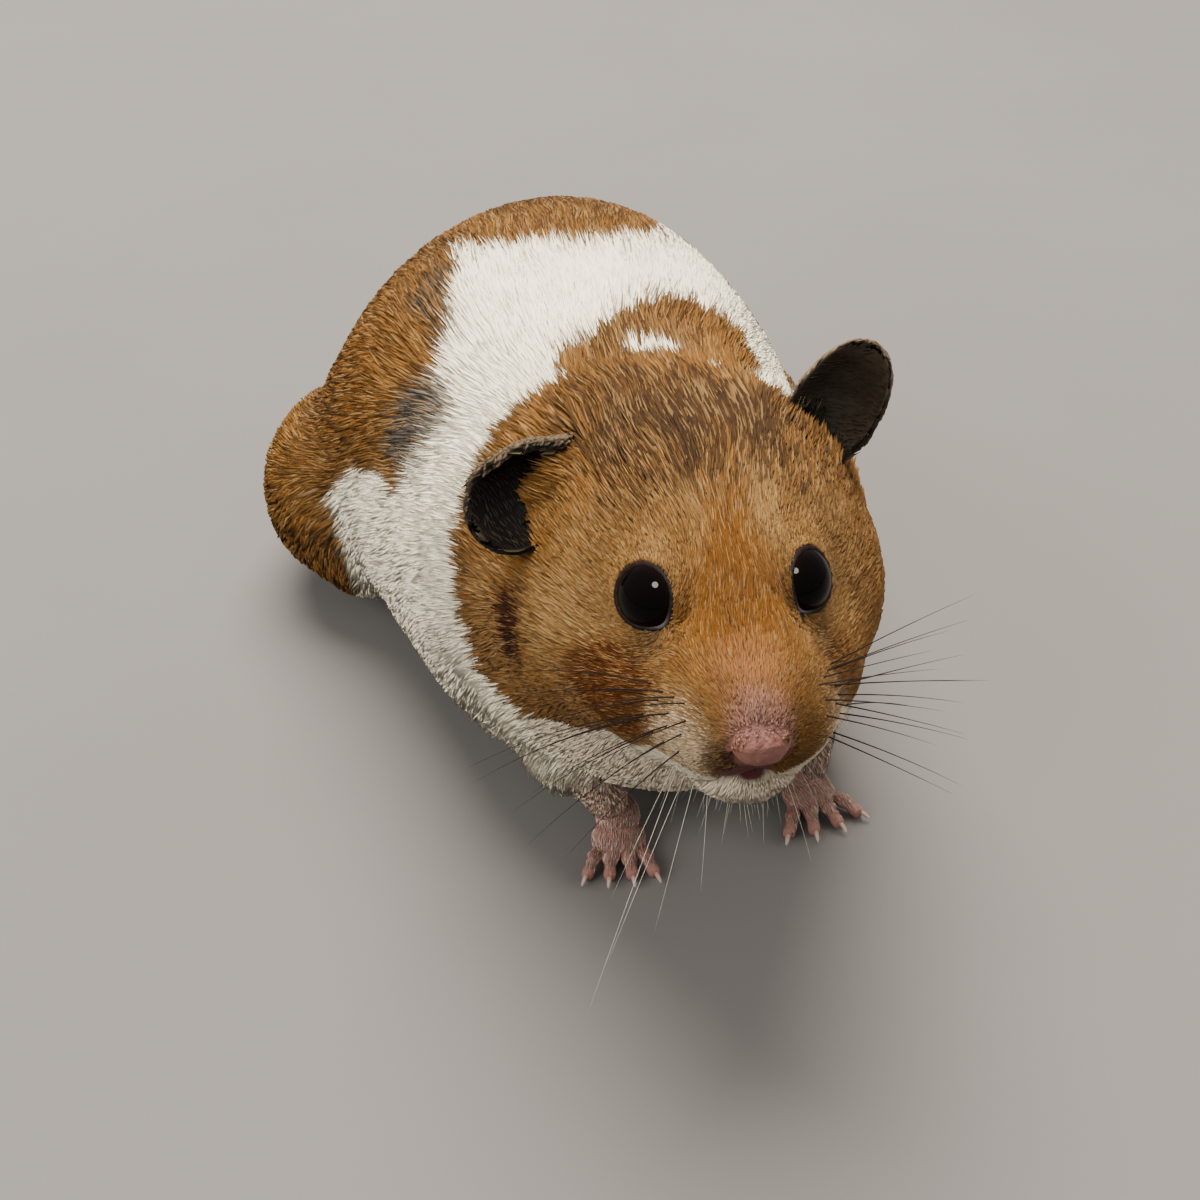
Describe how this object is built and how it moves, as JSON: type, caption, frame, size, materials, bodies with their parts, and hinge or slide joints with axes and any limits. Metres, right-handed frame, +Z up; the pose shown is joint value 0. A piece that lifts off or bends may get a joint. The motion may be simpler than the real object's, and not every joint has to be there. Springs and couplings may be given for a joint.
{
  "type": "syrian hamster",
  "caption": "Life-size still model of a golden and white Syrian hamster standing on all fours, head raised, coat modelled to its tips.",
  "frame": {"origin": "on the floor, under the middle of the whole animal's box", "axes": "+Z up, the head toward -Y, the animal's left side toward +X"},
  "size_m": [0.0704, 0.1156, 0.0549],
  "materials": {
    "golden_coat": "soft golden-brown fur",
    "white_coat": "soft white fur",
    "pink_skin": "bare pink skin",
    "ear_skin": "thin dark ear skin",
    "eye": "wet glossy black",
    "claw": "pale horn"
  },
  "bodies": {
    "root": {"head": "golden_coat", "neck": "golden_coat", "trunk": "white_coat", "hindleg_left": "golden_coat", "hindleg_right": "golden_coat", "foreleg_left": "white_coat", "foreleg_right": "white_coat", "forepaw_left": "pink_skin", "forepaw_right": "pink_skin", "hindfoot_left": "pink_skin", "hindfoot_right": "pink_skin", "nose": "pink_skin", "tail": "pink_skin", "ear_left": "ear_skin", "ear_right": "ear_skin", "eye_left": "eye", "eye_right": "eye", "claw_forepaw_left_1": "claw", "claw_forepaw_left_2": "claw", "claw_forepaw_left_3": "claw", "claw_forepaw_left_4": "claw", "claw_forepaw_right_1": "claw", "claw_forepaw_right_2": "claw", "claw_forepaw_right_3": "claw", "claw_forepaw_right_4": "claw", "claw_hindfoot_left_1": "claw", "claw_hindfoot_left_2": "claw", "claw_hindfoot_left_3": "claw", "claw_hindfoot_left_4": "claw", "claw_hindfoot_left_5": "claw", "claw_hindfoot_right_1": "claw", "claw_hindfoot_right_2": "claw", "claw_hindfoot_right_3": "claw", "claw_hindfoot_right_4": "claw", "claw_hindfoot_right_5": "claw"}
  },
  "joints": []
}
